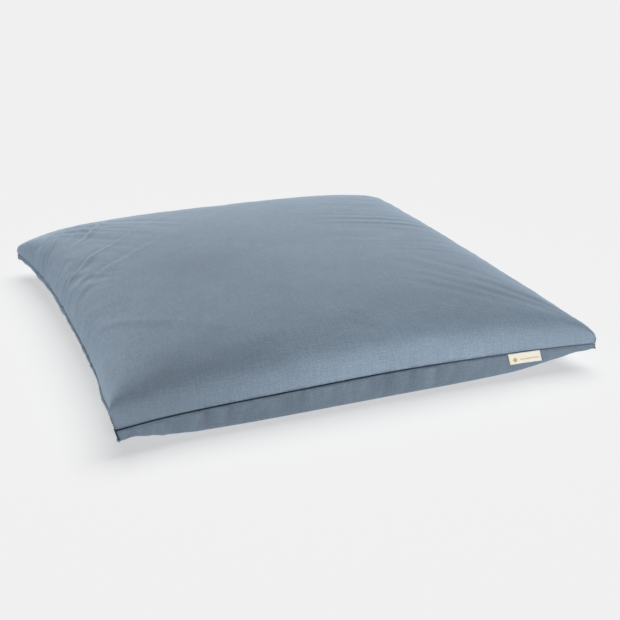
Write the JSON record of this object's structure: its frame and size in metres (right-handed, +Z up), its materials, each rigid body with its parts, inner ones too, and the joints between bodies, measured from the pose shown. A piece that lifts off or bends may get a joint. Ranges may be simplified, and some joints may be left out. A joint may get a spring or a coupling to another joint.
{
  "type": "floor cushion",
  "caption": "Large square floor cushion: blue-grey canvas cover with boxed corners, back zip and small side label, over a wadding-wrapped pad.",
  "frame": {"origin": "on the floor under the middle of the cushion", "axes": "+Z up, -Y towards the front side, which carries the label, +X towards the label's corner"},
  "size_m": [0.8028, 0.8028, 0.139],
  "materials": {
    "canvas": "matte",
    "overlock": "matte",
    "navy_thread": "matte",
    "zip_tape": "matte",
    "zip_coil": "satin",
    "zip_metal": "satin",
    "cream_label": "matte",
    "white_label": "matte",
    "calico": "matte",
    "wadding": "matte",
    "fibre": "matte"
  },
  "bodies": {
    "cushion": {"cover_top_panel": "canvas", "cover_bottom_panel": "canvas", "seam_allowance_left": "overlock", "seam_allowance_right": "overlock", "seam_allowance_front": "overlock", "seam_allowance_back_left": "overlock", "seam_allowance_back_right": "overlock", "corner_tack_front_left": "navy_thread", "corner_tack_front_right": "navy_thread", "corner_tack_back_left": "navy_thread", "corner_tack_back_right": "navy_thread", "zip_tape_upper": "zip_tape", "zip_tape_lower": "zip_tape", "zip_coil_upper": "zip_coil", "zip_coil_lower": "zip_coil", "zip_top_stop": "zip_metal", "zip_bottom_stop": "zip_metal", "care_label": "white_label", "inner_case_top": "calico", "inner_case_bottom": "calico", "wadding_top": "wadding", "wadding_bottom": "wadding", "fill_core": "fibre"},
    "zip_slider": {"zip_slider": "zip_metal"},
    "zip_pull": {"zip_pull": "zip_metal"},
    "side_label": {"side_label": "cream_label"}
  },
  "joints": [
    {"name": "zip_slide", "type": "slide", "parent": "cushion", "child": "zip_slider", "axis": [-1, 0, 0], "range_m": [0, 0.55]},
    {"name": "zip_pull_swing", "type": "hinge", "parent": "zip_slider", "child": "zip_pull", "pos_m": [0.2755, 0.3896, 0.05], "axis": [0, 0, -1], "range_deg": [0, 175]},
    {"name": "side_label_flip", "type": "hinge", "parent": "cushion", "child": "side_label", "pos_m": [0.2705, -0.39211, 0.04845], "axis": [-0.9992, 0.0371, 0.0171], "range_deg": [0, 110]}
  ]
}
